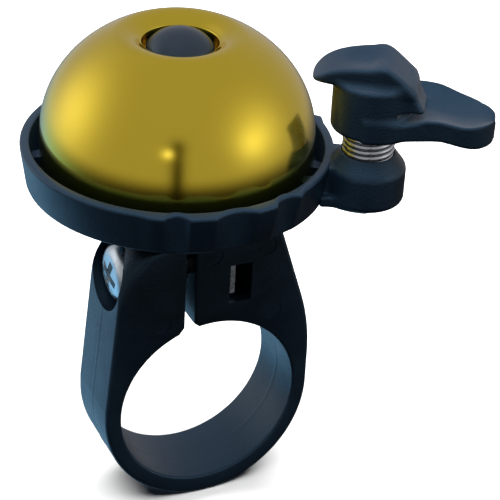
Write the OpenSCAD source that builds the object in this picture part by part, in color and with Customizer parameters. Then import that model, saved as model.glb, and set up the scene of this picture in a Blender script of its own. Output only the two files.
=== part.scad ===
// Bicycle bell with a turning striker ring, in millimetres.
// The origin is the centre of the handlebar bore. +Y runs along the handlebar, +Z is up.

/* [Handlebar clamp] */
// Radius of the relaxed bore, for a 22.2 mm handlebar
bore_r = 11.2; // [11.15:0.05:11.3]
// Width of the band along the handlebar
band_w = 9.5; // [9.2:0.1:11]
// Outer radius of the band at the level of the bore's axis
band_r = 13.15; // [13:0.05:13.4]
// Depth of the band's bottom below the bore's axis
band_low = 13.6; // [13.4:0.1:13.8]
// Width of the slot between the two lugs
slot_w = 1.2; // [1:0.1:1.4]
// Distance of the slot's middle to the left of the bore's axis
slot_x = 2.8; // [2.6:0.1:3]
// Height of the top of the left lug
jaw_top_z = 22.4; // [22.2:0.1:22.5]

/* [Pinch screw] */
// Height of the screw's axis
screw_z = 17.6; // [17.5:0.1:17.8]
// Nominal radius of the screw's thread
thread_r = 2; // [1.9:0.05:2]
// Radius of the pan head
head_r = 3.5; // [3.4:0.1:3.6]
// Height of the pan head
head_h = 2.6; // [2.4:0.1:2.8]
// Width across the square nut
nut_w = 7; // [6.8:0.1:7]
// Thickness of the square nut
nut_t = 2.2; // [2:0.1:2.2]

/* [Bell] */
// Distance of the bell's axis to the left of the bore's axis
bell_x = 3.1; // [3:0.1:3.2]
// Outer radius of the dome
dome_r = 15.5; // [15.3:0.1:15.6]
// Height of the dome's crown above its widest level
dome_rise = 13.3; // [13.1:0.1:13.4]
// Level where the straight skirt of the dome turns into its crown
dome_z = 35.1; // [35:0.1:35.2]
// Level of the dome's open edge
dome_rim_z = 31.4; // [31.3:0.1:31.8]
// Thickness of the brass
dome_t = 1.1; // [1:0.05:1.15]
// Radius of the cap's recess in the crown
recess_r = 4.25; // [4.2:0.05:4.4]
// Radius of the cap
cap_r = 3.8; // [3.7:0.05:3.85]

/* [Striker ring] */
// Level of the ring's lower edge
ring_z0 = 29.15; // [29.1:0.05:29.2]
// Height of the ring's wall
ring_h = 4.8; // [4.6:0.1:5]
// Outer radius of the ring at its upper edge
ring_r = 17.9; // [17.8:0.05:18.1]
// Angle of the striker arm about the bell's axis
arm_angle = -32.7; // [-40:1:-30]
// Distance of the striker spring from the bell's axis
striker_d = 21.5; // [21.4:0.1:21.8]
// Radius of the spring holder and of the lever's hub
holder_r = 4.4; // [4.3:0.05:4.5]

/* [Striker spring] */
// Outer radius of the coil
coil_r = 2.95; // [2.9:0.05:2.95]
// Diameter of the spring wire
wire_d = 0.6; // [0.55:0.01:0.62]
// Rise of one turn
coil_pitch = 0.64; // [0.63:0.01:0.66]

/* [Hidden] */
$fn = 96;
fit = 0.05;              // running clearance round a shaft
hull_fn = 32;            // circle steps inside hulls

// clamp
side_lean = 18;          // lean of the right flank from upright, in degrees
side_arc = 28;           // radius of the right flank's curve
side_arc_z = 4;          // level where that curve starts
jaw_lean = 5.4;          // lean of the left flank from upright, in degrees
shoulder_z = 16.8;       // level where the left shoulder starts
shoulder_w = 4.2;        // how far in the left shoulder reaches
lug_top_z = 25.2;        // where the right lug meets the seat's flare
neck_z = 23.5;           // underside of the flared seat over the left lug
seat_z = 27.3;           // underside of the seat's rim
seat_top_z = 27.95;      // top of the seat
seat_r = 14.4;           // radius of the seat
split_gap = 0.12;        // clearance at the flexing bottom of the band
bevel = 0.6;             // bevel on the lugs' inner corners
jaw_x = -slot_x - slot_w / 2;
body_x = -slot_x + slot_w / 2;

// pinch screw, along X
head_seat_x = -8.7;      // bearing face of the head
washer_t = 0.58;
screw_recess_x = -8.1;   // floor of the head's recess
screw_recess_r = 4.15;
screw_tip_x = 3.8;
nut_x = 1.1;             // left face of the nut
nut_play = 0.06;
shank_r = thread_r - 0.02;
thread_mid_r = thread_r - 0.15;
nut_bore_r = thread_r;
screw_room = 0.35;       // clearance round the screw inside the right lug
insert_r = 2.6;
insert_l = 7.5;          // length of the threaded insert
cross_w = 1.1;           // width of the cross recess
cross_l = 4.2;           // length of the cross recess
cross_deep = 1.5;
window_x = [2.1, 4.9];   // window that shows the nut, on the front face
window_z = [13.6, 18.7];

// centre post and the stack on it
post_r = 5;
post_shoulder_z = 34;
post_top_r = 3.7;
post_top_z = 41.7;
wave_t = 0.75;
slip_t = 0.4;
hub_r = 7.5;
hub_top_z = 32.4;
floor_t = 1.3;           // thickness of the ring's floor
clip_t = 0.7;
groove_r = 4.5;

// dome and its fastening
recess_floor_z = 43.5;   // upper side of the recess's floor
recess_mouth_z = 45.95;
crest_r = 6.2;           // radius of the round crest outside the recess
m3_r = 1.5;
dome_washer_t = 0.5;
cap_z0 = 44.05;
cap_edge_z = 45.5;
cap_top_z = 47.5;
cap_wall = 0.95;

// striker
wall_t = 1.2;            // ring wall at its top
pivot_z = 36.7;          // level where the spring bends
holder_z = 33.6;         // top of the holder's cylinder
cone_z = 35.25;          // top of the holder's cone
cone_r = 3.25;
socket_r = coil_r + fit;
peg_r = coil_r - wire_d - fit;
socket_z0 = 31.5;        // floor of the ring's socket
lever_z0 = 38.2;         // underside of the lever
socket_z1 = 41.6;        // roof of the lever's socket
paddle_z1 = 40.9;
plate_z0 = 43.8;
plate_z1 = 46.3;
flute_angles = [-112.5, -91.5, -70.5];   // finger flutes in front of the arm
flute_r = 3.6;
flute_deep = 0.75;
grip_angles = concat(flute_angles, [for (a = flute_angles) 2 * arm_angle - a]);
tab_angles = [160, -42, -28, 60, 110, -150];  // snap tabs inside the ring's wall

module at_bell() { translate([-bell_x, 0, 0]) children(); }

// Local frame of the striker: X outward along the arm, Y across it, on the spring's axis.
module at_striker() { at_bell() rotate([0, 0, arm_angle]) translate([striker_d, 0, 0]) children(); }

// A flat outline drawn in X and Z, extruded along Y through the band's width.
module band(w = band_w) { rotate([90, 0, 0]) linear_extrude(w, center = true) children(); }

// A cylinder along X between two stations, on the pinch screw's axis.
module along_x(x0, x1, r) {
    translate([x0, 0, screw_z]) rotate([0, 90, 0]) cylinder(h = x1 - x0, r = r);
}

module disc(r, z0, z1, hole = 0) {
    difference() {
        translate([0, 0, z0]) cylinder(r = r, h = z1 - z0);
        if (hole > 0) translate([0, 0, z0 - 1]) cylinder(r = hole, h = z1 - z0 + 2);
    }
}

// Right flank of the clamp: a tangent arc off the band, then a straight leaning line.
function flank(a) = [band_r - side_arc * (1 - cos(a)), side_arc_z + side_arc * sin(a)];
flank_end = flank(side_lean);
function flank_at(z) = [flank_end[0] - (z - flank_end[1]) * tan(side_lean), z];

// Outer edge of the band from angle a to angle b: a circle above the bore's axis, an ellipse below it.
function band_edge(a) = [band_r * cos(a), (sin(a) < 0 ? band_low : band_r) * sin(a)];
function band_arc(a, b, n = 36) = [for (i = [0:n]) band_edge(a + (b - a) * i / n)];
split_a = asin(split_gap / 2 / band_r);

module body_outline() {
    difference() {
        polygon(concat(
            [[split_gap / 2, 0]],
            band_arc(270 + split_a, 360),
            [for (a = [0:2:side_lean]) flank(a)],
            [flank_at(lug_top_z), [body_x, lug_top_z], [body_x, 8]]));
        circle(r = bore_r);
        polygon([[body_x - 1, 8], [body_x - 1, 11.6], [body_x, 11.6],
                 [body_x + bevel, 11.6 - bevel], [body_x + bevel, 8]]);
    }
}

module clamp_body() color("#1b2530") {
    difference() {
        union() {
            band() body_outline();
            at_bell() rotate_extrude() polygon([
                [0, neck_z], [5, neck_z], [7.4, neck_z + 0.6], [seat_r - 0.3, seat_z],
                [seat_r, seat_z + 0.3], [seat_r, seat_top_z],
                [post_r, seat_top_z], [post_r, hub_top_z + fit], [groove_r, hub_top_z + fit],
                [groove_r, hub_top_z + 3 * fit + clip_t], [post_r, hub_top_z + 3 * fit + clip_t],
                [post_r, post_shoulder_z - 0.4], [post_r - 0.4, post_shoulder_z],
                [post_top_r, post_shoulder_z], [post_top_r, post_top_z], [0, post_top_z]]);
        }
        // pinch screw's way through the lug, and room for its tip
        along_x(body_x - 1, screw_tip_x + 2, thread_r + screw_room);
        // nut's pocket, open at the back
        translate([nut_x, -nut_w / 2 - nut_play, screw_z - nut_w / 2 - nut_play])
            cube([nut_t + nut_play, band_w, nut_w + 2 * nut_play]);
        // window on the front face
        translate([window_x[0], -band_w / 2 - 1, window_z[0]])
            cube([window_x[1] - window_x[0], band_w / 2 + 2, window_z[1] - window_z[0]]);
        // seat of the threaded insert
        at_bell() translate([0, 0, post_top_z - insert_l]) cylinder(r = insert_r, h = insert_l + 1);
    }
}

// Left flank of the clamp: a straight line, tangent to the band, up to the round shoulder.
tangent = [-band_r * cos(jaw_lean), band_r * sin(jaw_lean)];
flank_x = tangent[0] + (shoulder_z - tangent[1]) * tan(jaw_lean);

module jaw_outline() {
    difference() {
        polygon(concat(
            [[-split_gap / 2, 0]],
            band_arc(270 - split_a, 180 - jaw_lean),
            [for (a = [0:15:90]) [flank_x + shoulder_w * (1 - cos(a)),
                                  shoulder_z + (jaw_top_z - shoulder_z) * sin(a)]],
            [[jaw_x, jaw_top_z], [jaw_x, 8]]));
        circle(r = bore_r);
        polygon([[jaw_x + 1, 8], [jaw_x + 1, 11.4], [jaw_x, 11.4],
                 [jaw_x - bevel, 11.4 - 1.5 * bevel], [jaw_x - bevel, 8]]);
    }
}

module clamp_jaw() color("#1b2530") {
    difference() {
        band() jaw_outline();
        along_x(-band_r - 1, screw_recess_x, screw_recess_r);
        along_x(screw_recess_x - 1, jaw_x + 1, thread_r + fit);
    }
}

module clamp_screw() color("silver") {
    difference() {
        union() {
            translate([head_seat_x - 0.02, 0, screw_z]) rotate([0, -90, 0]) rotate_extrude()
                polygon(concat([[0, 0], [head_r, 0], [head_r, head_h * 0.45]],
                    [for (a = [0:15:90]) [head_r - 1.4 * (1 - cos(a)), head_h * (0.45 + 0.5 * sin(a))]],
                    [[0, head_h]]));
            along_x(head_seat_x - 0.5, jaw_x + 0.4, shank_r);
            along_x(jaw_x, screw_tip_x - 0.4, thread_mid_r);
            translate([screw_tip_x - 0.4, 0, screw_z]) rotate([0, 90, 0])
                cylinder(h = 0.4, r1 = thread_mid_r, r2 = thread_mid_r - 0.4);
        }
        for (turn = [0, 90])
            translate([head_seat_x - head_h + cross_deep / 2 - 0.5, 0, screw_z]) rotate([turn + 20, 0, 0])
                cube([cross_deep + 1, cross_w, cross_l], center = true);
    }
}

module clamp_washer() color("silver") {
    difference() {
        along_x(screw_recess_x - washer_t, screw_recess_x, screw_recess_r - 0.15);
        along_x(screw_recess_x - washer_t - 1, screw_recess_x + 1, thread_r + fit);
    }
}

module clamp_nut() color("silver") {
    difference() {
        translate([nut_x, -nut_w / 2, screw_z - nut_w / 2]) cube([nut_t, nut_w, nut_w]);
        along_x(nut_x - 1, nut_x + nut_t + 1, nut_bore_r);
    }
}

module post_insert() color("goldenrod") {
    at_bell() disc(insert_r, post_top_z - insert_l, post_top_z, m3_r);
}

// Spring washer bent into three shallow waves: a flat wire carried round on a cosine.
module wave_washer() color("silver") {
    n = 72;
    leaf_t = 0.3;
    corners = [[post_r + fit, -leaf_t], [hub_r, -leaf_t], [hub_r, leaf_t], [post_r + fit, leaf_t]];
    points = [for (i = [0:n - 1]) for (c = corners)
        let (a = 360 * i / n, mid = seat_top_z + wave_t / 2 + (wave_t - leaf_t) / 2 * cos(3 * a))
        [c[0] * cos(a), c[0] * sin(a), mid + c[1] / 2]];
    quads = [for (i = [0:n - 1]) for (j = [0:3])
        let (k = 4 * ((i + 1) % n), m = (j + 1) % 4) [4 * i + j, k + j, k + m, 4 * i + m]];
    at_bell() polyhedron(points, [for (q = quads) each [[q[0], q[1], q[2]], [q[0], q[2], q[3]]]]);
}

module slip_washer() color("whitesmoke") {
    at_bell() disc(hub_r, seat_top_z + wave_t, seat_top_z + wave_t + slip_t, post_r + fit);
}

module ring_wall() {
    rotate_extrude() polygon([
        [post_r + fit, ring_z0], [ring_r - 1, ring_z0], [ring_r - 0.85, ring_z0 + 0.15],
        [ring_r, ring_z0 + ring_h - 0.4], [ring_r - 0.15, ring_z0 + ring_h - 0.1],
        [ring_r - 0.4, ring_z0 + ring_h], [ring_r - wall_t + 0.2, ring_z0 + ring_h],
        [ring_r - wall_t, ring_z0 + ring_h - 0.2], [ring_r - wall_t - 0.5, ring_z0 + floor_t],
        [hub_r, ring_z0 + floor_t], [hub_r, hub_top_z], [post_r + fit, hub_top_z]]);
}

module striker_ring() color("#1b2530") {
    difference() {
        union() {
            difference() {
                at_bell() ring_wall();
                for (a = grip_angles) at_bell() rotate([0, 0, a])
                    translate([ring_r + flute_r - flute_deep, 0, ring_z0 - 1])
                        cylinder(r = flute_r, h = ring_h + 2);
            }
            for (a = tab_angles) at_bell() rotate([0, 0, a])
                translate([ring_r - wall_t - 0.85, -0.9, ring_z0 + floor_t - 0.1]) cube([0.8, 1.8, 1.5]);
            at_striker() {
                rotate_extrude() polygon([
                    [0, ring_z0], [holder_r - 0.6, ring_z0], [holder_r, ring_z0 + 0.6],
                    [holder_r, holder_z], [cone_r, cone_z], [0, cone_z]]);
                translate([-striker_d + ring_r - 1.2, -3.8, ring_z0])
                    cube([striker_d - ring_r + 1.2, 7.6, 1.5]);
                translate([-striker_d + ring_r - 0.9, -2.6, ring_z0])
                    cube([striker_d - ring_r - 1, 6.2, ring_h - 0.6]);
            }
        }
        // annular socket that grips the foot of the spring
        at_striker() difference() {
            translate([0, 0, socket_z0]) cylinder(r = socket_r, h = 10);
            translate([0, 0, socket_z0 - 1]) cylinder(r = peg_r, h = cone_z - socket_z0 + 0.6);
        }
    }
}

module ring_clip() color("silver") {
    at_bell() difference() {
        disc(hub_r - 0.7, hub_top_z + 2 * fit, hub_top_z + 2 * fit + clip_t, groove_r + 0.02);
        rotate([0, 0, 90]) translate([0, -1.6, hub_top_z]) cube([10, 3.2, 3]);
    }
}

// Spring: a round wire swept along a helix, both ends closed.
coil_mid_r = (coil_r * 2 - wire_d) / 2;
spring_z0 = socket_z0 + wire_d / 2 + fit;
spring_turns = floor((socket_z1 - socket_z0 - wire_d - 2 * fit) / coil_pitch);
steps = 20;
sides = 8;
function coil_point(i, j) =
    let (a = 360 * i / steps, b = 360 * j / sides, r = coil_mid_r + wire_d / 2 * cos(b))
    [r * cos(a), r * sin(a), spring_z0 + coil_pitch * i / steps + wire_d / 2 * sin(b)];

module striker_spring() color("silver") {
    rings = spring_turns * steps;
    points = [for (i = [0:rings]) for (j = [0:sides - 1]) coil_point(i, j)];
    skin = [for (i = [0:rings - 1]) for (j = [0:sides - 1])
            [i * sides + j, (i + 1) * sides + j, (i + 1) * sides + (j + 1) % sides, i * sides + (j + 1) % sides]];
    at_striker() polyhedron(points, concat(skin,
        [[for (j = [0:sides - 1]) j]],
        [[for (j = [sides - 1:-1:0]) rings * sides + j]]));
}

// Hammer plate over the dome: rounded nose at the left, straight ridge at the right.
module plate() {
    hull() {
        translate([-6.1, 0, plate_z0 - 0.2]) cylinder(r = 1, h = 1.6, $fn = hull_fn);
        translate([-2.6, 0.4, plate_z0]) cylinder(r = 2.9, h = plate_z1 - plate_z0, $fn = hull_fn);
        translate([0.6, 0.5, plate_z0]) cylinder(r = 3.2, h = plate_z1 - plate_z0, $fn = hull_fn);
        translate([2.2, -2.4, plate_z0]) cube([0.8, 5.4, plate_z1 - plate_z0 - 0.2]);
    }
}

// Wedge from the plate's ridge down to the paddle.
module wedge() {
    hull() {
        translate([0, -3, plate_z0 + 0.6]) cube([2.9, 6.2, 1.2]);
        translate([0, -3.2, paddle_z1]) cube([5, 6.6, 0.4]);
    }
}

// Thumb paddle: narrow waist beside the hub, broad round end.
module paddle() {
    thick = paddle_z1 - lever_z0;
    hull() {
        translate([2, 0.3, lever_z0]) cylinder(r = 3.7, h = thick, $fn = hull_fn);
        translate([7, 0.4, lever_z0]) cylinder(r = 3.5, h = thick - 0.2, $fn = hull_fn);
    }
    hull() {
        translate([7, 0.4, lever_z0]) cylinder(r = 3.5, h = thick - 0.2, $fn = hull_fn);
        translate([9.7, 0, lever_z0]) cylinder(r = 3.85, h = thick, $fn = hull_fn);
    }
}

module striker_lever() color("#1b2530") {
    at_striker() difference() {
        union() {
            rotate_extrude() polygon([
                [0, lever_z0], [holder_r - 0.4, lever_z0], [holder_r, lever_z0 + 0.4],
                [holder_r - 0.1, plate_z0 + 0.2], [0, plate_z0 + 0.2]]);
            plate();
            wedge();
            paddle();
        }
        difference() {
            translate([0, 0, lever_z0 - 1]) cylinder(r = socket_r, h = socket_z1 - lever_z0 + 1);
            translate([0, 0, lever_z0 + 0.4]) cylinder(r = peg_r, h = socket_z1 - lever_z0);
        }
    }
}

// Crown of the dome as an ellipse, and the same curve inset by the brass thickness.
function crown(r, inset = 0) =
    dome_z + (dome_rise - inset) * sqrt(1 - pow(r / (dome_r - inset), 2));
crown_steps = [for (a = [0:6:66]) a];
function crown_r(a, inset) = (dome_r - inset) * cos(a);

module bell_dome() color("goldenrod") {
    t = dome_t;
    at_bell() rotate_extrude() polygon(concat(
        [[dome_r, dome_rim_z]],
        [for (a = crown_steps) [crown_r(a, 0), crown(crown_r(a, 0))]],
        [[crest_r - 0.4, crown(crest_r) - 0.15], [crest_r - 0.9, crown(crest_r) - 0.45],
         [recess_r + 0.2, recess_mouth_z + 0.05], [recess_r, recess_mouth_z - 0.25],
         [recess_r, recess_floor_z], [m3_r + 0.2, recess_floor_z], [m3_r + 0.2, recess_floor_z - t],
         [recess_r + t, recess_floor_z - t], [recess_r + t, crown(crest_r + t, t) - 0.9],
         [crest_r + t - 0.4, crown(crest_r + t, t)]],
        [for (i = [len(crown_steps) - 2:-1:0]) [crown_r(crown_steps[i], t), crown(crown_r(crown_steps[i], t), t)]],
        [[dome_r - t, dome_rim_z]]));
}

module dome_pad() color("dimgray") {
    at_bell() disc(post_top_r, post_top_z, recess_floor_z - dome_t, m3_r + 0.15);
}

module dome_washer() color("silver") {
    at_bell() disc(3.5, recess_floor_z, recess_floor_z + dome_washer_t, m3_r + 0.15);
}

module dome_screw() color("silver") {
    seat = recess_floor_z + dome_washer_t;
    at_bell() difference() {
        rotate_extrude() polygon([
            [0, seat - 8], [m3_r - 0.4, seat - 8], [m3_r - 0.02, seat - 7.6], [m3_r - 0.02, seat],
            [2.7, seat], [2.7, seat + 1.1], [2.3, seat + 1.7], [1.6, seat + 2], [0, seat + 2.1]]);
        for (turn = [0, 90])
            translate([0, 0, seat + 1.7]) rotate([0, 0, turn]) cube([0.8, 3, 1.6], center = true);
    }
}

// Cap: a hollow button whose skirt grips the screw's head.
module center_cap() color("#1b2530") {
    bulge = cap_top_z - cap_edge_z;
    ball_r = (cap_r * cap_r + bulge * bulge) / (2 * bulge);
    edge_a = acos(cap_r / ball_r);
    at_bell() rotate_extrude() polygon(concat(
        [[2.75, cap_z0], [cap_r - 0.1, cap_z0], [cap_r, cap_edge_z - 0.1]],
        [for (k = [0:8]) let (a = edge_a + (90 - edge_a) * k / 8)
            [ball_r * cos(a), cap_top_z - ball_r + ball_r * sin(a)]],
        [[0, cap_top_z - cap_wall], [1.6, cap_top_z - cap_wall - 0.2], [2.75, cap_top_z - cap_wall - 0.9]]));
}

clamp_body();
clamp_jaw();
clamp_screw();
clamp_washer();
clamp_nut();
post_insert();
wave_washer();
slip_washer();
striker_ring();
ring_clip();
striker_spring();
striker_lever();
bell_dome();
dome_pad();
dome_washer();
dome_screw();
center_cap();
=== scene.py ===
# %% [markdown]
# # A brass handlebar bell with a sprung flick striker
# The bell is a split plastic clamp, a brass dome on a centre post, and a plastic ring that turns round the
# post. The ring carries a coil spring, and the spring carries the lever that strikes the dome.
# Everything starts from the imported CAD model, which fixes sizes and places. The cells below give its visible
# pieces their finished surfaces. Lengths are in millimetres until a mesh is written out in metres.

# %% Load the frame
import math

import bpy
import numpy as np
from mathutils import Matrix, Vector


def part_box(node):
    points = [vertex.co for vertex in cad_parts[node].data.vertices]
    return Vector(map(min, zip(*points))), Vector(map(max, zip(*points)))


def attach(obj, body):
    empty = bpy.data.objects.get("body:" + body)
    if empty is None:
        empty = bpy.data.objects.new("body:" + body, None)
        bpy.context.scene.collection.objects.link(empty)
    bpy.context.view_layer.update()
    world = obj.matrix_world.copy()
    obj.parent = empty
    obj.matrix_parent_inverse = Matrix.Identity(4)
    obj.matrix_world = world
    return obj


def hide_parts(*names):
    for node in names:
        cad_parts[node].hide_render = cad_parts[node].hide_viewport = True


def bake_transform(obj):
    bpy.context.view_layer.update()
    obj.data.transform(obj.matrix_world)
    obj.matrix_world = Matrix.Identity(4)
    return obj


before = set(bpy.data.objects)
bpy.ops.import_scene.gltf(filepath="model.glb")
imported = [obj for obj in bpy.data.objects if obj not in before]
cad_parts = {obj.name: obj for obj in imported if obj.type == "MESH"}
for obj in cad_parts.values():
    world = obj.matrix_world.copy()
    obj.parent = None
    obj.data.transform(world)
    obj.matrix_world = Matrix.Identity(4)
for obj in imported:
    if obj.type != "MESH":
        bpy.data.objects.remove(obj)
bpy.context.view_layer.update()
MM = 0.001
print("frame nodes:", sorted(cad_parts))

# %% [markdown]
# ## Sizes that the pieces share
# The levels and radii repeat the CAD part's own values. The box of each node gives the places that can be
# read from it, so a changed part moves the looks with it.

# %% Shared sizes


def node_box(name):
    """Lowest and highest corner of a CAD node, in millimetres."""
    low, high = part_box(name)
    return np.array(low) / MM, np.array(high) / MM


dome_low, dome_high = node_box("bell_dome")
ring_low = node_box("striker_ring")[0]
clamp_low = node_box("clamp_body")[0]
jaw_high = node_box("clamp_jaw")[1]
spring_low, spring_high = node_box("striker_spring")

BELL_X = (dome_low[0] + dome_high[0]) / 2
DOME_R = (dome_high[0] - dome_low[0]) / 2
DOME_RIM = dome_low[2]
BAND_HALF = jaw_high[1]
BAND_LOW = -clamp_low[2]
BORE_R = 11.2
BAND_R = 13.15
JAW_TOP = jaw_high[2]
JAW_SLOT = -3.4
BODY_SLOT = -2.2
SCREW_Z = 17.6
RING_LOW = ring_low[2]
ARM_ANGLE = math.radians(-32.7)
STRIKER_X = (spring_low[0] + spring_high[0]) / 2
STRIKER_Y = (spring_low[1] + spring_high[1]) / 2
print("bell axis x", round(float(BELL_X), 3), "dome radius", round(float(DOME_R), 3))

# %% [markdown]
# ## Mesh tools
# Each shape is worked out as whole arrays of points. One function writes any of them into a mesh. It
# measures the signed volume first, and turns the faces round when the shape came out inside out.

# %% Write arrays into a mesh


def signed_volume(points, face_sets):
    """A sixth of the sum of p0 . (p1 x p2) over every triangle of every face."""
    total = 0.0
    for faces in face_sets:
        first = points[faces[:, 0]]
        for k in range(1, faces.shape[1] - 1):
            total += np.einsum("ij,ij->", first, np.cross(points[faces[:, k]], points[faces[:, k + 1]]))
    return total / 6


def put_mesh(name, points, *face_sets, sharp=35):
    """An object at the origin from points in millimetres and arrays with one row of corners per face."""
    if signed_volume(points, face_sets) < 0:
        face_sets = [faces[:, ::-1] for faces in face_sets]
    corners = np.concatenate([faces.ravel() for faces in face_sets]).astype(np.int32)
    sizes = np.concatenate([np.full(len(faces), faces.shape[1]) for faces in face_sets])
    mesh = bpy.data.meshes.new(name)
    mesh.vertices.add(len(points))
    mesh.vertices.foreach_set("co", (points * MM).astype(np.float32).ravel())
    mesh.loops.add(len(corners))
    mesh.loops.foreach_set("vertex_index", corners)
    mesh.polygons.add(len(sizes))
    mesh.polygons.foreach_set("loop_start", (np.cumsum(sizes) - sizes).astype(np.int32))
    mesh.update(calc_edges=True)
    mesh.validate()
    mesh.shade_smooth()
    mesh.set_sharp_from_angle(angle=math.radians(sharp))
    piece = bpy.data.objects.new(name, mesh)
    bpy.context.scene.collection.objects.link(piece)
    return piece


def grid_faces(rows, columns, wrap_rows=False, wrap_columns=True):
    """Quads between the neighbours of a grid of points numbered row by row."""
    i, j = np.meshgrid(np.arange(rows if wrap_rows else rows - 1),
                       np.arange(columns if wrap_columns else columns - 1), indexing="ij")
    i, j = i.ravel(), j.ravel()
    k, m = (i + 1) % rows, (j + 1) % columns
    return np.stack([i * columns + j, k * columns + j, k * columns + m, i * columns + m], axis=1)


# %% [markdown]
# Most small hardware is turned: a profile carried round an axis. A profile whose two ends lie on the axis
# closes in a pole at each end, and any other profile closes on itself, as a washer's does. Corners are cut
# back and joined by short parabolas, because no moulded or turned edge is truly sharp.

# %% Rounded outlines and turned shapes


def rounded(corners, cuts, steps=5):
    """A closed outline: each corner p is replaced by (1-t)^2 a + 2t(1-t) p + t^2 b, where a and b lie on
    its two edges, `cuts` away from it."""
    p = np.array(corners, float)
    cuts = np.broadcast_to(np.asarray(cuts, float), len(p))[:, None]
    before = np.roll(p, 1, axis=0) - p
    after = np.roll(p, -1, axis=0) - p
    a = p + before * np.minimum(cuts / np.linalg.norm(before, axis=1, keepdims=True), 0.45)
    b = p + after * np.minimum(cuts / np.linalg.norm(after, axis=1, keepdims=True), 0.45)
    t = np.linspace(0, 1, steps + 1)[None, :, None]
    line = ((1 - t) ** 2 * a[:, None] + 2 * t * (1 - t) * p[:, None] + t ** 2 * b[:, None]).reshape(-1, 2)
    return line[np.linalg.norm(line - np.roll(line, 1, axis=0), axis=1) > 1e-6]


def turned_points(profile, steps, axis):
    """(r, h) carried round by a: r cos a, r sin a and h. h is along z at the bell, along x at the screw."""
    angle = np.linspace(0, 2 * np.pi, steps, endpoint=False)
    across = profile[:, :1] * np.cos(angle)
    aside = profile[:, :1] * np.sin(angle)
    along = np.broadcast_to(profile[:, 1:], across.shape)
    if axis == "screw":
        return np.stack([along, across, SCREW_Z + aside], axis=-1)
    return np.stack([BELL_X + across, aside, along], axis=-1)


def turned(name, profile, steps=160, axis="bell"):
    """A turned solid. A profile that starts and ends at r = 0 gets a pole at each end."""
    profile = np.array(profile, float)
    if max(profile[0, 0], profile[-1, 0]) > 1e-6:
        points = turned_points(profile, steps, axis)
        return put_mesh(name, points.reshape(-1, 3), grid_faces(len(profile), steps, wrap_rows=True))
    body = turned_points(profile[1:-1], steps, axis).reshape(-1, 3)
    poles = turned_points(profile[[0, -1]], steps, axis)[:, 0]
    j = np.arange(steps)
    last = len(body) - steps
    start = np.stack([np.full(steps, len(body)), (j + 1) % steps, j], axis=1)
    end = np.stack([np.full(steps, len(body) + 1), last + j, last + (j + 1) % steps], axis=1)
    faces = grid_faces(len(profile) - 2, steps)
    return put_mesh(name, np.concatenate([body, poles]), faces, start[:, ::-1], end[:, ::-1])


# %% [markdown]
# Holes, pockets and joined bosses are Boolean steps between closed meshes. Each step is baked at once, so
# the piece that is kept is plain mesh.

# %% Cut and join closed meshes


def combine(piece, tools, operation):
    """piece minus or plus each tool in turn. The tools are used up. A step that can't run leaves its input
    as it was without an error, so an unchanged count of points stops the script."""
    for tool in tools:
        step = piece.modifiers.new(operation, "BOOLEAN")
        step.operation = operation
        step.solver = "MANIFOLD"
        step.object = tool
        bpy.context.view_layer.update()
        shaped = piece.evaluated_get(bpy.context.evaluated_depsgraph_get())
        mesh = bpy.data.meshes.new_from_object(shaped)
        if len(mesh.vertices) == len(piece.data.vertices):
            raise RuntimeError(f"{tool.name} changed nothing on {piece.name}: one of them isn't closed")
        piece.modifiers.clear()
        piece.data = mesh
        bpy.data.objects.remove(tool)
    mesh.shade_smooth()
    mesh.set_sharp_from_angle(angle=math.radians(35))
    print(piece.name, operation.lower(), len(mesh.polygons), "faces")
    return piece


def block(name, low, high, taper=1.0):
    """A box between two corners. Its faces at the highest x are `taper` times as wide as at the lowest."""
    low, high = np.array(low, float), np.array(high, float)
    share = np.stack(np.meshgrid([0, 1], [0, 1], [0, 1], indexing="ij"), axis=-1).reshape(-1, 3)
    points = low + share * (high - low)
    centre = (low + high) / 2
    narrow = np.where(share[:, :1] == 1, taper, 1.0)
    points[:, 1:] = centre[1:] + (points[:, 1:] - centre[1:]) * narrow
    faces = np.array([[0, 1, 3, 2], [4, 6, 7, 5], [0, 4, 5, 1], [2, 3, 7, 6], [0, 2, 6, 4], [1, 5, 7, 3]])
    return put_mesh(name, points, faces)


# %% [markdown]
# ## Finishes
# A finish is a procedural material. Patterns read Object coordinates, which are metres in the frame, so a
# scale of 4000 gives grains a quarter of a millimetre across. Numbers that are the same all over a surface
# sit on the shader's own sockets.

# %% Helper for shader nodes
GRAIN_DEPTH = 0.00005


def add(tree, kind, inputs=None, **settings):
    """A node with its settings, and with its inputs set to values or linked to other nodes' outputs."""
    made = tree.nodes.new(kind)
    for name, value in settings.items():
        setattr(made, name, value)
    for socket, value in (inputs or {}).items():
        if isinstance(value, bpy.types.NodeSocket):
            tree.links.new(value, made.inputs[socket])
        else:
            made.inputs[socket].default_value = value
    return made


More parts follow.
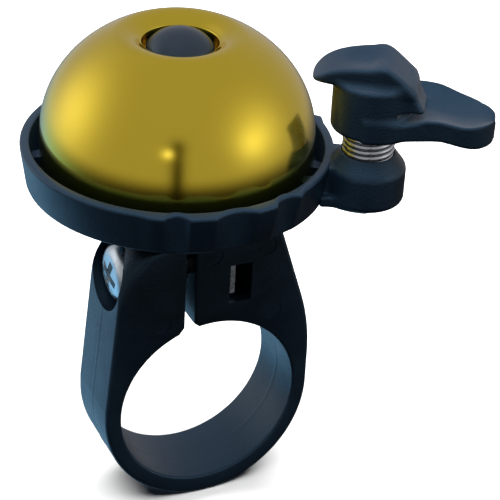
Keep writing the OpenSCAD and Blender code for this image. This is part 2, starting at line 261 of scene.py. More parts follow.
def new_finish(name, dark, light, rough, patch=250, grain=6000, relief=0.1, **sockets):
    """Colour drifts from dark to light and roughness between two values in patches `1/patch` metres wide,
    and a finer noise gives the surface its relief."""
    finish = bpy.data.materials.new(name)
    finish.use_nodes = True
    tree = finish.node_tree
    shader = tree.nodes["Principled BSDF"]
    place = add(tree, "ShaderNodeTexCoord").outputs["Object"]
    drift = add(tree, "ShaderNodeTexNoise", {"Vector": place, "Scale": patch, "Detail": 3.0})
    colour = add(tree, "ShaderNodeMix", {"Factor": drift.outputs["Fac"]}, data_type="RGBA")
    colour.inputs[6].default_value = (*dark, 1)
    colour.inputs[7].default_value = (*light, 1)
    tree.links.new(colour.outputs[2], shader.inputs["Base Color"])
    fine = add(tree, "ShaderNodeTexNoise", {"Vector": place, "Scale": grain, "Detail": 2.0})
    both = add(tree, "ShaderNodeMath", {0: drift.outputs["Fac"], 1: fine.outputs["Fac"]},
               operation="MULTIPLY")
    spread = add(tree, "ShaderNodeMapRange", {"Value": both.outputs[0], "From Min": 0.1, "From Max": 0.45,
                                              "To Min": rough[0], "To Max": rough[1]})
    tree.links.new(spread.outputs["Result"], shader.inputs["Roughness"])
    bump = add(tree, "ShaderNodeBump", {"Height": fine.outputs["Fac"], "Strength": relief,
                                        "Distance": GRAIN_DEPTH})
    tree.links.new(bump.outputs["Normal"], shader.inputs["Normal"])
    for socket, value in sockets.items():
        shader.inputs[socket.replace("_", " ")].default_value = value
    return finish


# %% [markdown]
# The clamp, ring and lever are nylon with a fine eroded grain, blue-black and satin. The dome is brass,
# polished and lacquered, so it mirrors the studio softly and carries a thin clear coat.

# %% The finishes
nylon_black = new_finish("satin_black_nylon", (0.005, 0.012, 0.023), (0.009, 0.020, 0.037), (0.3, 0.44),
                         grain=3800, relief=0.7, Specular_Tint=(0.42, 0.74, 1.0, 1.0), Specular_IOR_Level=0.6)
gloss_black = new_finish("polished_black_plastic", (0.005, 0.008, 0.013), (0.009, 0.013, 0.02), (0.16, 0.24),
                         relief=0.04, Specular_Tint=(0.62, 0.85, 1.0, 1.0), Specular_IOR_Level=0.7)
brass_dome = new_finish("lacquered_brass", (0.76, 0.585, 0.036), (0.80, 0.62, 0.05), (0.15, 0.2), patch=120,
                        grain=9000, relief=0.02, Metallic=1.0, Coat_Weight=0.35, Coat_Roughness=0.1)
brass_plain = new_finish("turned_brass", (0.62, 0.45, 0.14), (0.72, 0.55, 0.2), (0.25, 0.4), Metallic=1.0)
zinc = new_finish("bright_zinc", (0.42, 0.52, 0.58), (0.78, 0.86, 0.9), (0.2, 0.42), patch=900, grain=2500,
                  relief=0.25, Metallic=1.0)
spring_steel = new_finish("drawn_spring_steel", (0.4, 0.45, 0.48), (0.66, 0.7, 0.72), (0.18, 0.34),
                          patch=1500, grain=5000, relief=0.03, Metallic=1.0)
nylon_white = new_finish("white_nylon", (0.7, 0.69, 0.64), (0.8, 0.79, 0.75), (0.4, 0.55))
rubber = new_finish("soft_rubber", (0.016, 0.016, 0.017), (0.03, 0.03, 0.03), (0.65, 0.85), relief=0.4)


def finished(piece, finish, body=None, replaces=()):
    """Gives a piece its material, and says what it rides on and stands for."""
    piece.data.materials.clear()
    piece.data.materials.append(finish)
    if body:
        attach(piece, body)
    if replaces:
        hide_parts(*replaces)
    return piece


# %% [markdown]
# ## The dome
# The gong is pressed from sheet brass and is even in thickness. Its outside is a quarter ellipse on a short
# straight skirt, and its crown dips in a funnel to the recess that hides the fastening. A turned profile is
# the exact form for it, and the inner line repeats the outer one a sheet's thickness further in.

# %% Turn the dome
CROWN_BASE = 35.1
CROWN_RISE = 13.3
SHEET = 1.1
FUNNEL_R = 7.4
RECESS_R = 4.25
FUNNEL_DROP = 1.94
RECESS_FLOOR = 43.5
SCREW_HOLE = 1.7


def crown(r, radius, rise, funnel_shift=0.0):
    """Ellipse base + rise sqrt(1 - (r/radius)^2), less a funnel that drops by the power 1.8 inside it."""
    inside = np.clip((FUNNEL_R + funnel_shift - r) / (FUNNEL_R - RECESS_R), 0, None)
    return CROWN_BASE + rise * np.sqrt(np.clip(1 - (r / radius) ** 2, 0, None)) - FUNNEL_DROP * inside ** 1.8


def dome_profile():
    """Rim, outer crown, lip, recess, floor, then the inner crown back to the rim."""
    lip = 0.22
    outer_r = DOME_R * np.cos(np.linspace(0, math.acos((RECESS_R + lip) / DOME_R), 90))
    inner_r = np.linspace(RECESS_R + SHEET, DOME_R - SHEET, 70)
    inner_r = np.append(inner_r[:-1], DOME_R - SHEET - 0.3 * np.linspace(0.6, 0, 6) ** 2)
    outer = np.stack([outer_r, crown(outer_r, DOME_R, CROWN_RISE)], axis=1)
    inner = np.stack([inner_r, crown(inner_r, DOME_R - SHEET, CROWN_RISE - SHEET, 0.8)], axis=1)
    lip_z = outer[-1, 1]
    bend = np.linspace(0, np.pi / 2, 7)[1:]
    lip_arc = np.stack([RECESS_R + lip * (1 - np.sin(bend)), lip_z - lip * (1 - np.cos(bend)) - 0.02], axis=1)
    rim = [[DOME_R - SHEET, DOME_RIM + 0.3], [DOME_R - SHEET + 0.3, DOME_RIM], [DOME_R - 0.3, DOME_RIM],
           [DOME_R, DOME_RIM + 0.3]]
    floor = [[RECESS_R, RECESS_FLOOR + 0.2], [RECESS_R - 0.2, RECESS_FLOOR], [SCREW_HOLE, RECESS_FLOOR],
             [SCREW_HOLE, RECESS_FLOOR - SHEET], [RECESS_R + SHEET - 0.2, RECESS_FLOOR - SHEET],
             [RECESS_R + SHEET, RECESS_FLOOR - SHEET + 0.2]]
    return np.concatenate([rim, outer, lip_arc, floor, inner])


dome = turned("brass_gong", dome_profile(), steps=256)
finished(dome, brass_dome, "clamp", ["bell_dome"])
print("dome", len(dome.data.polygons), "faces")

# %% [markdown]
# ## The cap
# A glossy plug hides the dome's screw. It is a shallow ball on a short straight skirt, hollow inside where
# it grips the screw's head.

# %% Turn the cap
CAP_R = 3.8
CAP_EDGE = 45.5
CAP_TOP = 47.5
CAP_LOW = 44.05


def cap_profile():
    """Outside of a ball through the edge and the top, then the hollow under it."""
    bulge = CAP_TOP - CAP_EDGE
    ball = (CAP_R ** 2 + bulge ** 2) / (2 * bulge)
    angle = np.linspace(math.pi / 2, math.acos((CAP_R - 0.06) / ball), 28)
    outside = np.stack([ball * np.cos(angle), CAP_TOP - ball + ball * np.sin(angle)], axis=1)
    outside[0, 0] = 0.0
    skirt = [[CAP_R, CAP_EDGE - 0.08], [CAP_R - 0.08, CAP_LOW], [2.75, CAP_LOW], [2.75, CAP_TOP - 1.85],
             [1.6, CAP_TOP - 1.15], [0, CAP_TOP - 0.95]]
    return np.concatenate([outside, skirt])


cap = turned("dome_cap", cap_profile(), steps=128)
finished(cap, gloss_black, "clamp", ["center_cap"])

# %% [markdown]
# ## Surfaces from a field
# The lever and the ring's arm flow from one form into another with soft fillets, which no single profile
# gives. They are described by a field instead: a function that is negative inside the plastic. Smooth
# minimum and maximum join and trim its parts, and their width is the fillet's. A regular grid of cells then
# finds where the field changes sign, each such cell gives one point, and each point is drawn onto the
# surface by Newton steps.

# %% Fields and their skin


def join(a, b, fillet):
    """Smooth minimum: min(a, b) less a quarter of the fillet where the two are equal."""
    near = np.clip(1 - np.abs(a - b) / fillet, 0, None)
    return np.minimum(a, b) - near ** 2 * fillet / 4


def trim(a, b, edge):
    """Smooth maximum, which keeps what is inside both a and b, with its edge rounded."""
    return -join(-a, -b, edge)


def slope_of(field, p, reach=0.01):
    """Gradient of the field at each point, by central differences."""
    steps = reach * np.eye(3)
    return np.stack([(field(*(p + s).T) - field(*(p - s).T)) / (2 * reach) for s in steps], axis=1)


def skin(field, low, high, cell):
    """Points and quads of the surface where the field is zero, one point per cell that it passes through."""
    axes = [np.arange(a - cell, b + 2 * cell, cell) for a, b in zip(low, high)]
    inside = field(*np.meshgrid(*axes, indexing="ij")) < 0
    corners = [inside[i:i - 1 or None, j:j - 1 or None, k:k - 1 or None]
               for i in (0, 1) for j in (0, 1) for k in (0, 1)]
    count = np.sum(corners, axis=0)
    crossed = (count > 0) & (count < 8)
    number = np.full(crossed.shape, -1)
    number[crossed] = np.arange(crossed.sum())
    start = np.stack([axes[n][i] for n, i in enumerate(np.nonzero(crossed))], axis=1) + cell / 2
    points = start.copy()
    for _ in range(6):
        slope = slope_of(field, points)
        pull = field(*points.T)[:, None] * slope / np.maximum((slope ** 2).sum(1, keepdims=True), 0.05)
        points = start + np.clip(points - pull - start, -0.75 * cell, 0.75 * cell)
    faces = []
    for axis in range(3):
        b, c = (axis + 1) % 3, (axis + 2) % 3
        before = np.take(inside, np.arange(inside.shape[axis] - 1), axis)
        after = np.take(inside, np.arange(1, inside.shape[axis]), axis)
        for leaving in (True, False):
            at = np.stack(np.nonzero(before & ~after if leaving else ~before & after), axis=1)
            at = at[(at[:, b] > 0) & (at[:, c] > 0)]
            around = []
            for db, dc in ((1, 1), (0, 1), (0, 0), (1, 0)):
                cell_at = at.copy()
                cell_at[:, b] -= db
                cell_at[:, c] -= dc
                around.append(number[tuple(cell_at.T)])
            quads = np.stack(around, axis=1)
            faces.append(quads if leaving else quads[:, ::-1])
    return points, np.concatenate(faces)


def at_striker(points):
    """Turns (along the arm, across it, height) into the frame, on the spring's axis."""
    u, w, z = points.T
    c, s = math.cos(ARM_ANGLE), math.sin(ARM_ANGLE)
    return np.stack([STRIKER_X + u * c - w * s, STRIKER_Y + u * s + w * c, z], axis=1)


def field_piece(name, field, low, high, cell):
    """A closed mesh of a field that is written in the striker's own directions."""
    points, quads = skin(field, low, high, cell)
    return put_mesh(name, at_striker(points), quads, sharp=60)


def socket_cutter(name, z0, z1):
    """The annular slot that grips one end of the spring, as a turned ring moved onto the spring's axis."""
    profile = np.array([[2.3, z0], [3.0, z0], [3.0, z1], [2.3, z1]])
    steps = 96
    points = turned_points(profile, steps, "bell").reshape(-1, 3)
    points += np.array([STRIKER_X - BELL_X, STRIKER_Y, 0])
    return put_mesh(name, points, grid_faces(len(profile), steps, wrap_rows=True))


# %% [markdown]
# ## The lever
# One moulding does three jobs. A round hub grips the spring. Over it a visor-shaped hammer reaches in to the
# dome, with a hollowed top that the thumb can push. On the other side a long paddle is the part that the
# thumb flicks. A wedge runs down from the hammer to the paddle, over a narrow undercut.

# %% Mould the lever
HUB_R = 4.45
HAMMER_LOW = 43.85


def eased(u, stations, values):
    """A line through the stations with its corners rounded: the mean of five copies, each moved a little."""
    return sum(np.interp(u + shift, stations, values) for shift in (-0.8, -0.4, 0.0, 0.4, 0.8)) / 5


def paddle_edges(u):
    """Middle and half width of the paddle across the arm, by distance out: waist, bulge and round end."""
    near = eased(u, [0, 4.5, 7.5, 9.5, 11.5, 13.7], [-4.2, -3.55, -3.15, -3.45, -3.7, -3.7])
    far = eased(u, [0, 4.5, 7.5, 12.2, 13.7], [4.45, 4.5, 4.25, 3.75, 3.6])
    end = np.sqrt(np.clip(1 - (np.clip(u - 10.0, 0, None) / 3.58) ** 2, 0, None))
    middle = (near + far) / 2
    return middle, (far - near) / 2 * end


def lever_field(u, w, z):
    """Hub, hammer, wedge and paddle joined with fillets, less the dish of each thumb face."""
    hub = trim(np.hypot(u, w) - HUB_R, np.abs(z - 41.2) - 3.0, 0.5)
    nose = (np.hypot(np.clip(u + 3.2, None, 0) / 3.9, w / 3.7) - 1) * 3.7
    sides = trim(-w - 3.05 + 0.02 * u ** 2, w - 3.2 - 0.13 * u, 0.6)
    dish = 0.42 * np.exp(-((u + 0.9) / 2.7) ** 2 - ((w + 0.1) / 1.9) ** 2)
    top = 46.65 + 0.09 * w - 2.8 * np.exp(-(u + 6.9) / 2.2) - dish
    flank = 0.6 * (u - 0.9 + 1.33 * (z - 46.9))
    hammer = trim(trim(trim(nose, sides, 0.7), trim(z - top, HAMMER_LOW - z, 0.35), 0.45), flank, 0.6)
    lean = np.interp(z, [40.6, 41.9, 43.3, 45.4, 46.9], [5.9, 5.8, 5.0, 3.0, 0.9])
    far_side = 3.1 - 0.32 * np.clip(u - 2, 0, 4)
    slope = trim(u - lean, trim(-w - 2.95, w - far_side, 0.7), 0.8)
    wedge = trim(trim(slope, trim(41.55 - z, z - 46.4, 0.3), 0.35), 0.2 - u, 1.2)
    middle, half = paddle_edges(u)
    share = (w - middle) / np.maximum(half, 0.4)
    rise = eased(u, [3.5, 4.6, 7.1, 10.2, 11.7, 13.6], [40.3, 40.6, 41.25, 40.95, 41.1, 41.2])
    rise += 1.9 * np.clip(share, 0, 1) ** 1.5 * np.clip((12.0 - u) / 7.5, 0, 1)
    hollow = 0.75 * np.clip(1 - share ** 2, 0, 1) * np.clip((u - 5.2) / 2.5, 0, 1)
    edge = np.maximum(np.abs(w - middle) - half, u - 13.6)
    under = 38.4 + 0.25 * np.clip((u - 4) / 4, 0, 1) - 0.45 * np.clip((u - 8) / 4, 0, 1)
    paddle = trim(trim(edge, trim(z - rise + hollow, under - z, 0.4), 0.4), -u, 0.3)
    groove = np.hypot(np.maximum(np.abs(u - 5.0) - 1.8, 0), np.hypot((w + 2.9) / 3.0, z - 41.35)) - 0.2
    whole = join(join(join(hub, hammer, 0.7), wedge, 0.9), paddle, 1.1)
    return trim(whole, -groove, 0.15)


lever = field_piece("thumb_lever", lever_field, (-7.6, -5.0, 37.9), (14.2, 5.2, 47.4), 0.13)
combine(lever, [socket_cutter("lever_socket", 38.0, 41.6)], "DIFFERENCE")
lever.visible_glossy = False  # keeps the lever's dark image out of the gong
finished(lever, nylon_black, "striker", ["striker_lever"])

# %% [markdown]
# ## The ring
# The ring turns round the post and carries the striker. Its wall flares outward to a rounded top edge, and
# beside the arm it is thicker and scooped by three finger flutes on each side. The profile is carried round
# in half-degree steps, and the outer wall's radius changes with the angle as it goes.

# %% Carry the ring's profile round
GRIP_CENTRES = (-112.5, -91.5, -70.5)
GRIP_HALVES = (4.6, 7.7, 5.6)
GRIP_ENDS = (-127.0, -59.0)
TAB_ANGLES = (160, -42, -28, 60, 110, -150)


def ring_swell(angle, height):
    """How far the outer wall moves: +0.4 in the grip, less a parabola scoop in each flute. Both fade to the
    bottom with height, which runs from 0 to 1, and the grip is mirrored on the other side of the arm."""
    turn = np.degrees(ARM_ANGLE)
    mirrored = np.where((angle - turn + 180) % 360 - 180 > 0, 2 * turn - angle, angle)
    mirrored = (mirrored + 180) % 360 - 180
    ease = np.clip(np.minimum(mirrored - GRIP_ENDS[0], GRIP_ENDS[1] - mirrored) / 7, 0, 1)
    scoops = sum(np.clip(1 - ((mirrored - c) / h) ** 2, 0, 1) for c, h in zip(GRIP_CENTRES, GRIP_HALVES))
    return height * 0.4 * ease ** 2 * (3 - 2 * ease) - (0.12 + 0.83 * height) * scoops


def ring_surface():
    """Points over (profile, angle): r grows by ring_swell on the outer wall only."""
    profile = rounded([[5.05, RING_LOW], [17.1, RING_LOW], [17.78, 33.95], [16.65, 33.95], [16.15, 30.45],
                       [7.5, 30.45], [7.5, 32.4], [5.05, 32.4]],
                      [0.1, 0.3, 0.5, 0.3, 0.4, 0.3, 0.15, 0.1], steps=7)
    wall = np.linspace(0, 1, 14)[1:-1, None]
    turn = int(np.argmax(profile[:, 1] > RING_LOW + 0.29))
    profile = np.insert(profile, turn, profile[turn - 1] * (1 - wall) + profile[turn] * wall, axis=0)
    angle = np.linspace(-180, 180, 720, endpoint=False)
    r, z = profile[:, :1], profile[:, 1:]
    height = np.clip((z - RING_LOW) / (33.3 - RING_LOW), 0, 1)
    outer = np.clip((r - 16.75) / 0.3, 0, 1)
    r = r + outer * ring_swell(angle[None, :], height)
    a = np.radians(angle)
    points = np.stack([BELL_X + r * np.cos(a), r * np.sin(a), np.broadcast_to(z, r.shape)], axis=-1)
    return points.reshape(-1, 3), len(profile), len(angle)


points, rows, columns = ring_surface()
ring = put_mesh("flick_ring", points, grid_faces(rows, columns, wrap_rows=True), sharp=50)
print("ring", len(ring.data.polygons), "faces")

# %% [markdown]
# The arm is a low shelf from the wall to a round holder for the spring, with a taller block behind it that
# stiffens it. The holder ends in a short cone where the spring comes out. Snap tabs inside the wall show
# beside the dome.

# %% Mould the arm and join it


def arm_field(u, w, z):
    """Holder, cone, shelf and block, joined with small fillets."""
    r = np.hypot(u, w)
    cone = trim(r - 4.42, 0.79 * (r - 4.42) + 0.61 * (z - 33.55), 0.3)
    foot = 0.7 * (r - 4.42) - 0.7 * (z - RING_LOW - 0.55)
    holder = trim(cone, trim(np.abs(z - 32.2) - 3.07, foot, 0.5), 0.25)
    along = trim(-u - 4.7, u - 0.5, 0.1)
    waist = 3.75 - 0.35 * np.exp(-((u + 3.4) / 1.3) ** 2)
    shelf = trim(trim(np.abs(w) - waist, along, 0.3), trim(RING_LOW - z, z - 30.5, 0.3), 0.35)
    stub = trim(trim(-w - 2.6, w - 3.6, 0.4), trim(along, trim(RING_LOW - z, z - 33.75, 0.3), 0.3), 0.3)
    return join(holder, join(shelf, stub, 0.3), 0.45)


def tab_block(angle):
    """A snap tab: a small box on the ring's floor against its wall, turned to its angle."""
    tab = block("tab", (15.45, -0.9, 30.3), (16.5, 0.9, 32.0), taper=0.8)
    tab.data.transform(Matrix.Translation((BELL_X * MM, 0, 0)) @ Matrix.Rotation(math.radians(angle), 4, "Z"))
    return tab


arm = field_piece("arm", arm_field, (-5.0, -4.7, 28.9), (4.7, 4.7, 35.5), 0.13)
combine(arm, [socket_cutter("arm_socket", 31.5, 36.5)], "DIFFERENCE")
combine(ring, [arm] + [tab_block(a) for a in TAB_ANGLES], "UNION")
finished(ring, nylon_black, "ring", ["striker_ring"])

# %% [markdown]
# ## The spring
# A close-wound coil joins the ring to the lever, and it is the lever's only hinge. It is a round wire
# carried along a helix.

# %% Wind the spring
WIRE_R = 0.3
COIL_R = 2.65
COIL_PITCH = 0.64


def coil_surface(turns=14, steps=44, sides=12):
    """Centre line (R cos a, R sin a, z0 + pitch a / 2 pi), with a circle of the wire's radius about it."""
    a = np.linspace(0, 2 * np.pi * turns, turns * steps)[:, None]
    b = np.linspace(0, 2 * np.pi, sides, endpoint=False)[None, :]
    r = COIL_R + WIRE_R * np.cos(b)
    z = spring_low[2] + WIRE_R + COIL_PITCH * a / (2 * np.pi) + WIRE_R * np.sin(b)
    points = np.stack([STRIKER_X + r * np.cos(a), STRIKER_Y + r * np.sin(a), z], axis=-1)
    ends = np.array([np.arange(sides), np.arange(sides) + (turns * steps - 1) * sides])
    return points.reshape(-1, 3), grid_faces(turns * steps, sides), ends


points, quads, ends = coil_surface()
coil = put_mesh("striker_coil", points, quads, ends[:1], ends[1:, ::-1])
finished(coil, spring_steel, replaces=["striker_spring"])
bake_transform(coil)

# %% [markdown]
# ## The clamp band
# The band is one moulding that springs open at its slot. Its section is a rounded rectangle carried from the
# bottom of the bore up each side, between an inner line that follows the bore and the slot, and an outer
# line that follows the flank. It is made in two halves here, which meet at the bottom. On the real clamp the
# left half moves when the screw turns.

# %% Carry a section between two lines


def lofted(name, inner, outer, end_round, outer_round=0.55):
    """Rounded rectangles between matching points of two lines in x and z, through the band's width. The last
    sections shrink by end_round (1 - cos) to round the end off. A faint parting ridge fades at the foot."""
    arc = 6
    inner_r = np.full((len(inner), 1), 0.3)
    outer_r = np.broadcast_to(outer_round, len(inner))[:, None]
    fade = np.clip((outer[:, 1:] + 12.5) / 2, 0, 1)
    shrink = np.zeros(len(inner))
    tail = np.linspace(0, np.pi / 2, 6)
    if end_round:
        shrink[-6:] = end_round * (1 - np.cos(tail))
    span = outer - inner
    width = np.linalg.norm(span, axis=1)
    along = span / width[:, None]
    turn = np.linspace(0, np.pi / 2, arc)
    a, b = [], []
    for radius, side, sign, start in ((inner_r, 0, -1, np.pi), (outer_r, 1, -1, 1.5 * np.pi),
                                      (outer_r, 1, 1, 0.0), (inner_r, 0, 1, 0.5 * np.pi)):
        angle = start + turn
        edge = (width - shrink)[:, None] - radius if side else shrink[:, None] + radius
        a.append(edge + radius * np.cos(angle))
        b.append(sign * (BAND_HALF - shrink[:, None] - radius) + radius * np.sin(angle))
        if start in (1.5 * np.pi, 0.5 * np.pi):
            ridge = np.array([-0.5, -0.18, 0.0, 0.18, 0.5]) * sign * -1
            lift = fade * np.array([0.0, 0.0, 0.045, 0.0, 0.0])
            a.append(((width - shrink) if side else shrink)[:, None] + (lift if side else -lift))
            b.append(np.broadcast_to(ridge, (len(width), 5)))
    a, b = np.concatenate(a, axis=1), np.concatenate(b, axis=1)
    x = inner[:, :1] + along[:, :1] * a
    z = inner[:, 1:] + along[:, 1:] * a
    rows, columns = a.shape
    ends = np.array([np.arange(columns), np.arange(columns) + (rows - 1) * columns])
    points = np.stack([x, b, z], axis=-1).reshape(-1, 3)
    return put_mesh(name, points, grid_faces(rows, columns), ends[:1], ends[1:, ::-1])


def bore_line(start, end, count):
    """Points on the bore between two angles, in degrees."""
    a = np.radians(np.linspace(start, end, count))
    return BORE_R * np.stack([np.cos(a), np.sin(a)], axis=1)


def bottom_line(side, count):
    """A quarter ellipse under the bore, from its lowest point to the level of the bore's axis."""
    a = np.linspace(-np.pi / 2, 0, count)
    return np.stack([side * BAND_R * np.cos(a), BAND_LOW * np.sin(a)], axis=1)


# %% [markdown]
# The right side rises straight, leans inward on an arc, and carries the nut's pocket, its window and the
# bell's seat and post.

# %% The fixed side of the clamp
FLANK_START = 4.0
FLANK_ARC = 28.0
FLANK_LEAN = math.radians(18)
LUG_TOP = 25.2
NUT_PLAY = 0.06


def right_flank(z):
    """x at height z: upright, then an arc of FLANK_ARC, then a straight line at FLANK_LEAN."""
    bend = np.clip((z - FLANK_START) / FLANK_ARC, 0, math.sin(FLANK_LEAN))
    straight = np.clip(z - FLANK_START - FLANK_ARC * math.sin(FLANK_LEAN), 0, None)
    return BAND_R - FLANK_ARC * (1 - np.sqrt(1 - bend ** 2)) - straight * math.tan(FLANK_LEAN)


def body_lines():
    """Matching inner and outer points of the fixed side, from the bottom to the seat."""
    rise = np.linspace(0, 19, 61)[1:]
    upper = np.linspace(19, LUG_TOP, 13)[1:]
    slot = np.stack([np.full(12, BODY_SLOT), np.linspace(11.6, LUG_TOP, 12)], axis=1)
    inner = np.concatenate([bore_line(-90, 0, 40), bore_line(0, 98.2, 61)[1:], slot])
    outer = np.concatenate([bottom_line(1, 40), np.stack([right_flank(rise), rise], axis=1),
                            np.stack([right_flank(upper), upper], axis=1)])
    return inner, outer


def seat_profile():
    """The flared seat, the post with its clip groove, and the seat of the threaded insert."""
    outline = [[2.6, 41.7], [3.7, 41.7], [3.7, 34.0], [4.6, 34.0], [5.0, 33.6], [5.0, 33.25], [4.5, 33.25],
               [4.5, 32.45], [5.0, 32.45], [5.0, 27.95], [14.4, 27.95], [14.4, 27.6], [14.1, 27.3],
               [7.4, 24.1], [4.8, 23.5], [0.0, 23.5], [0.0, 34.2], [2.6, 34.2]]
    start = 16
    return outline[start:] + outline[:start]


def screw_hole(name, x0, x1, r):
    """A plain cylinder on the pinch screw's axis."""
    return turned(name, [[0, x0], [r, x0], [r, x1], [0, x1]], steps=96, axis="screw")


def ejector_mark(x, z):
    """A shallow disc pressed into the front face by the mould's ejector pin."""
    angle = np.linspace(0, 2 * np.pi, 48, endpoint=False)
    circle = np.stack([x + 1.15 * np.cos(angle), z + 1.15 * np.sin(angle)], axis=1)
    depth = np.array([-BAND_HALF - 1, -BAND_HALF + 0.09])
    points = np.stack([np.tile(circle[:, 0], 2), np.repeat(depth, 48), np.tile(circle[:, 1], 2)], axis=1)
    ends = np.array([np.arange(48), np.arange(48) + 48])
    return put_mesh("mark", points, grid_faces(2, 48), ends[:1], ends[1:, ::-1])


body = lofted("clamp_side", *body_lines(), end_round=0)
seat = turned("seat", seat_profile(), steps=192)
combine(body, [seat], "UNION")
nut_low, nut_high = node_box("clamp_nut")
pocket = block("pocket", (nut_low[0], nut_low[1] - NUT_PLAY, nut_low[2] - NUT_PLAY),
               (nut_high[0] + NUT_PLAY, BAND_HALF + 2, nut_high[2] + NUT_PLAY))
window = block("window", (2.1, -BAND_HALF - 1, 13.6), (4.9, 1.0, 18.7))
marks = [ejector_mark(x, z) for x, z in ((6.75, 20.5), (-0.05, 20.4), (7.9, 11.5))]
combine(body, [pocket, window, screw_hole("way", -3.5, 5.8, 2.35)] + marks, "DIFFERENCE")
finished(body, nylon_black, "clamp", ["clamp_body"])

# %% [markdown]
# The left side leans in a little, steps back in a soft shoulder below the seat, and is bored from outside
# for the screw's head.

# %% The moving side of the clamp
JAW_LEAN = math.radians(5.4)
SHOULDER_LOW = 16.8
SHOULDER_WIDTH = 4.2
LEAN_START = 1.2
EDGE_ROUND = (0.55, 2.4)
EDGE_ROUND_LEVELS = (16.5, 21)


def left_flank(z):
    """x at height z: a leaning line, then a quarter ellipse width (1 - sqrt(1 - t^2)) over the shoulder."""
    lean = -BAND_R + np.clip(np.minimum(z, SHOULDER_LOW) - LEAN_START, 0, None) * math.tan(JAW_LEAN)
    t = np.clip((z - SHOULDER_LOW) / (JAW_TOP - SHOULDER_LOW), 0, 1)
    return lean + SHOULDER_WIDTH * (1 - np.sqrt(1 - t ** 2))


def jaw_lines():
    """Matching inner and outer points of the moving side, from the bottom to its top edge."""
    rise = np.linspace(0, 12, 41)[1:]
    upper = 12 + (JAW_TOP - 12) * np.sin(np.linspace(0, np.pi / 2, 34))
    slot_z = 11.3 + (JAW_TOP - 11.3) * np.sin(np.linspace(0, np.pi / 2, 34))
    inner = np.concatenate([bore_line(270, 180, 40), bore_line(180, 110.9, 41)[1:],
                            np.stack([np.full(34, JAW_SLOT), slot_z], axis=1)])
    outer = np.concatenate([bottom_line(-1, 40), np.stack([left_flank(rise), rise], axis=1),
                            np.stack([left_flank(upper), upper], axis=1)])
    return inner, outer


jaw_inner, jaw_outer = jaw_lines()
shoulder_round = np.interp(jaw_outer[:, 1], EDGE_ROUND_LEVELS, EDGE_ROUND)
jaw = lofted("clamp_jaw_side", jaw_inner, jaw_outer, end_round=0.5, outer_round=shoulder_round)
recess = screw_hole("recess", -20, -8.1, 4.15)
combine(jaw, [recess, screw_hole("jaw_way", -9, -2, 2.05), ejector_mark(-6.3, 12.4)], "DIFFERENCE")
finished(jaw, nylon_black, replaces=["clamp_jaw"])
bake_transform(jaw)

# %% [markdown]
# ## The pinch screw
# An M4 screw with a pan head draws the slot shut. The head is turned, a cross is cut in it, and the shank's
# radius follows a triangle wave along the helix, which gives a true thread.

# %% Make the screw and its washer
THREAD_PITCH = 0.7
HEAD_SEAT = -8.72


def threaded_shank(x0, x1, crest=1.9, depth=0.28):
    """r = crest - depth |2 frac(x / pitch - a / 2 pi) - 1|, eased out at both ends, closed by poles."""
    x = np.linspace(x0, x1, 260)[:, None]
    a = np.linspace(0, 2 * np.pi, 64, endpoint=False)[None, :]
    wave = np.abs(2 * ((x / THREAD_PITCH - a / (2 * np.pi)) % 1) - 1)
    ease = np.clip(np.minimum(x - x0 - 1.0, x1 - x) / 0.6, 0, 1)
    r = crest - depth * (wave * ease + (1 - ease) * np.where(x > (x0 + x1) / 2, 1.2, 0.2))
    points = np.stack([x + 0 * a, r * np.cos(a), SCREW_Z + r * np.sin(a)], axis=-1).reshape(-1, 3)
    ends = np.array([np.arange(64), np.arange(64) + 259 * 64])
    return put_mesh("shank", points, grid_faces(260, 64), ends[:1], ends[1:, ::-1])


def cross_arm(turn):
    """One tapered arm of the cross recess."""
    tip = HEAD_SEAT - 2.6
    arm = block("cross", (tip - 1, -0.6, -2.3), (tip + 1.7, 0.6, 2.3), taper=0.55)
    arm.data.transform(Matrix.Translation((0, 0, SCREW_Z * MM)) @ Matrix.Rotation(math.radians(turn), 4, "X"))
    return arm


head_line = [[0, HEAD_SEAT], [3.3, HEAD_SEAT], [3.5, HEAD_SEAT - 0.2], [3.5, HEAD_SEAT - 1.1]]
bend = np.linspace(0, np.pi / 2, 14)[1:]
head_line += np.stack([3.5 - 1.5 * (1 - np.cos(bend)), HEAD_SEAT - 1.1 - 1.3 * np.sin(bend)], axis=1).tolist()
head_line += [[1.0, HEAD_SEAT - 2.55], [0, HEAD_SEAT - 2.6]]
screw = turned("pan_screw", head_line, steps=128, axis="screw")
combine(screw, [threaded_shank(HEAD_SEAT - 0.4, 3.8)], "UNION")
combine(screw, [cross_arm(20), cross_arm(110)], "DIFFERENCE")
finished(screw, zinc, "pinch_screw", ["clamp_screw"])

washer_line = rounded([[2.05, -8.68], [4.0, -8.68], [4.0, -8.1], [2.05, -8.1]], 0.12)
washer = turned("screw_washer", washer_line, steps=128, axis="screw")
finished(washer, zinc, "jaw", ["clamp_washer"])

# %% [markdown]
# ## The hardware inside
# The nut, insert, washers, clip and pad have the right shape in the CAD model already. Each keeps its mesh
# and gets a finish of its own.

# %% Finish the hidden hardware
HARDWARE = {"clamp_nut": zinc, "post_insert": brass_plain, "wave_washer": spring_steel,
            "slip_washer": nylon_white, "ring_clip": spring_steel, "dome_pad": rubber,
            "dome_washer": zinc, "dome_screw": zinc}
for name, finish in HARDWARE.items():
    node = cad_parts[name]
    node.data.materials.clear()
    node.data.materials.append(finish)

# %% [markdown]
# ## Floor, light and camera
# The floor is plain and pale. The light is a soft tent: an even dome of light with brighter panels behind on
# the left and in front on the right, and a dark upright gap where the tent opens in front. Brass shows
# little but what it mirrors, so the tent is what shapes the gong. One wide lamp overhead lights the floor
# and every upward face. Each light has one job here: the tent is only mirrored, the lamp only lights, and
# the floor neither shows in the object nor brightens it, which keeps the upright plastic dark.

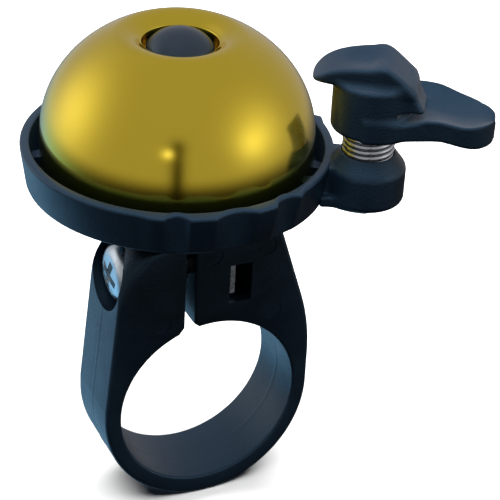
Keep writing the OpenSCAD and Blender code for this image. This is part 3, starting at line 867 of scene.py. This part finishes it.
# %% The floor
FLOOR_HALF = 2000.0
floor_z = clamp_low[2]
corners = np.array([[-FLOOR_HALF, -FLOOR_HALF, floor_z], [FLOOR_HALF, -FLOOR_HALF, floor_z],
                    [FLOOR_HALF, FLOOR_HALF, floor_z], [-FLOOR_HALF, FLOOR_HALF, floor_z]])
floor_mesh = bpy.data.meshes.new("studio_floor")
floor_mesh.from_pydata((corners * MM).tolist(), [], [[0, 1, 2, 3]])
floor = bpy.data.objects.new("studio_floor", floor_mesh)
bpy.context.scene.collection.objects.link(floor)
floor_mesh.materials.append(new_finish("pale_paper", (0.88, 0.88, 0.88), (0.9, 0.9, 0.9), (0.7, 0.8), patch=6,
                                       grain=300, relief=0.0, Specular_IOR_Level=0.0))
floor.visible_glossy = False
floor.visible_diffuse = False

# %% The tent of light
world = bpy.data.worlds.new("light_tent")
world.use_nodes = True
world.cycles_visibility.diffuse = False
bpy.context.scene.world = world
tree = world.node_tree
toward = add(tree, "ShaderNodeVectorMath", {0: add(tree, "ShaderNodeTexCoord").outputs["Generated"]},
             operation="NORMALIZE").outputs[0]


def direction(azimuth, elevation):
    """Unit vector at an angle from +X and above the horizon, in degrees."""
    a, e = math.radians(azimuth), math.radians(elevation)
    return (math.cos(a) * math.cos(e), math.sin(a) * math.cos(e), math.sin(e))


def math_node(operation, a, b):
    """One arithmetic step in the tent's shader."""
    return add(tree, "ShaderNodeMath", {0: a, 1: b}, operation=operation).outputs[0]


def panel(vector, azimuth, elevation, sharpness, strength):
    """strength x max(0, direction . panel)^sharpness: a round soft panel of light."""
    dot = add(tree, "ShaderNodeVectorMath", {0: vector, 1: direction(azimuth, elevation)},
              operation="DOT_PRODUCT").outputs["Value"]
    return math_node("MULTIPLY", math_node("POWER", math_node("MAXIMUM", dot, 0.0), sharpness), strength)


level = add(tree, "ShaderNodeValue").outputs[0]
level.default_value = 0.44
# azimuth, elevation, sharpness and strength of each bright panel, and of one dark patch
PANELS = ((142, 12, 9, 0.75), (-38, 18, 12, 0.5), (-48, 14, 40, 0.5), (-120, 18, 420, 2.2),
          (-113, 27, 180, -0.3))
for spot in PANELS:
    level = math_node("ADD", level, panel(toward, *spot))
flat = add(tree, "ShaderNodeVectorMath", {0: toward, 1: (1.0, 1.0, 0.0)}, operation="MULTIPLY").outputs[0]
flat = add(tree, "ShaderNodeVectorMath", {0: flat}, operation="NORMALIZE").outputs[0]
gap = panel(flat, -112.5, 0, 240, 0.97)
height = add(tree, "ShaderNodeSeparateXYZ", {0: toward}).outputs["Z"]
low_down = add(tree, "ShaderNodeMapRange", {"Value": height, "From Min": 0.38, "From Max": 0.52,
                                            "To Min": 1.0, "To Max": 0.0},
               interpolation_type="SMOOTHSTEP").outputs["Result"]
level = math_node("MULTIPLY", level, math_node("SUBTRACT", 1.0, math_node("MULTIPLY", gap, low_down)))
below = add(tree, "ShaderNodeMapRange", {"Value": height, "From Min": -0.5, "From Max": -0.12, "To Min": 0.07,
                                         "To Max": 1.0}, interpolation_type="SMOOTHSTEP").outputs["Result"]
level = math_node("MULTIPLY", level, below)
tree.nodes["Background"].inputs["Color"].default_value = (1.0, 0.94, 0.95, 1.0)
tree.links.new(level, tree.nodes["Background"].inputs["Strength"])
# a cool panel low behind on the left, which the clamp's left flank mirrors
cool_panel = panel(toward, 116, -44, 8, 1.3)
cool = add(tree, "ShaderNodeBackground", {"Color": (0.32, 0.68, 1.0, 1.0), "Strength": cool_panel})
both = add(tree, "ShaderNodeAddShader", {0: tree.nodes["Background"].outputs[0], 1: cool.outputs[0]})
tree.links.new(both.outputs[0], tree.nodes["World Output"].inputs["Surface"])

OVERHEAD_WIDTH = 1.4
OVERHEAD_WATTS = 30.0
overhead = bpy.data.lights.new("overhead", "AREA")
overhead.shape = "DISK"
overhead.size = OVERHEAD_WIDTH
overhead.energy = OVERHEAD_WATTS
overhead_lamp = bpy.data.objects.new("overhead", overhead)
overhead_lamp.location = (0.02, 0.06, 0.85)
overhead_lamp.visible_glossy = False
bpy.context.scene.collection.objects.link(overhead_lamp)
bpy.context.scene.view_settings.view_transform = "Standard"

# %% The camera
EYE = Vector((-77.132, -172.252, 132.599)) * MM
AIM = Vector((6.886, 0.284, 17.062)) * MM
ROLL = math.radians(3.147)
lens = bpy.data.cameras.new("camera")
lens.lens = 134.95
lens.sensor_width = 36.0
lens.clip_start = 0.01
camera = bpy.data.objects.new("camera", lens)
turn_to = (AIM - EYE).to_track_quat("-Z", "Y").to_matrix() @ Matrix.Rotation(ROLL, 3, "Z")
camera.matrix_world = Matrix.Translation(EYE) @ turn_to.to_4x4()
bpy.context.scene.collection.objects.link(camera)
bpy.context.scene.camera = camera
print("camera right", [round(v, 4) for v in turn_to.col[0]])
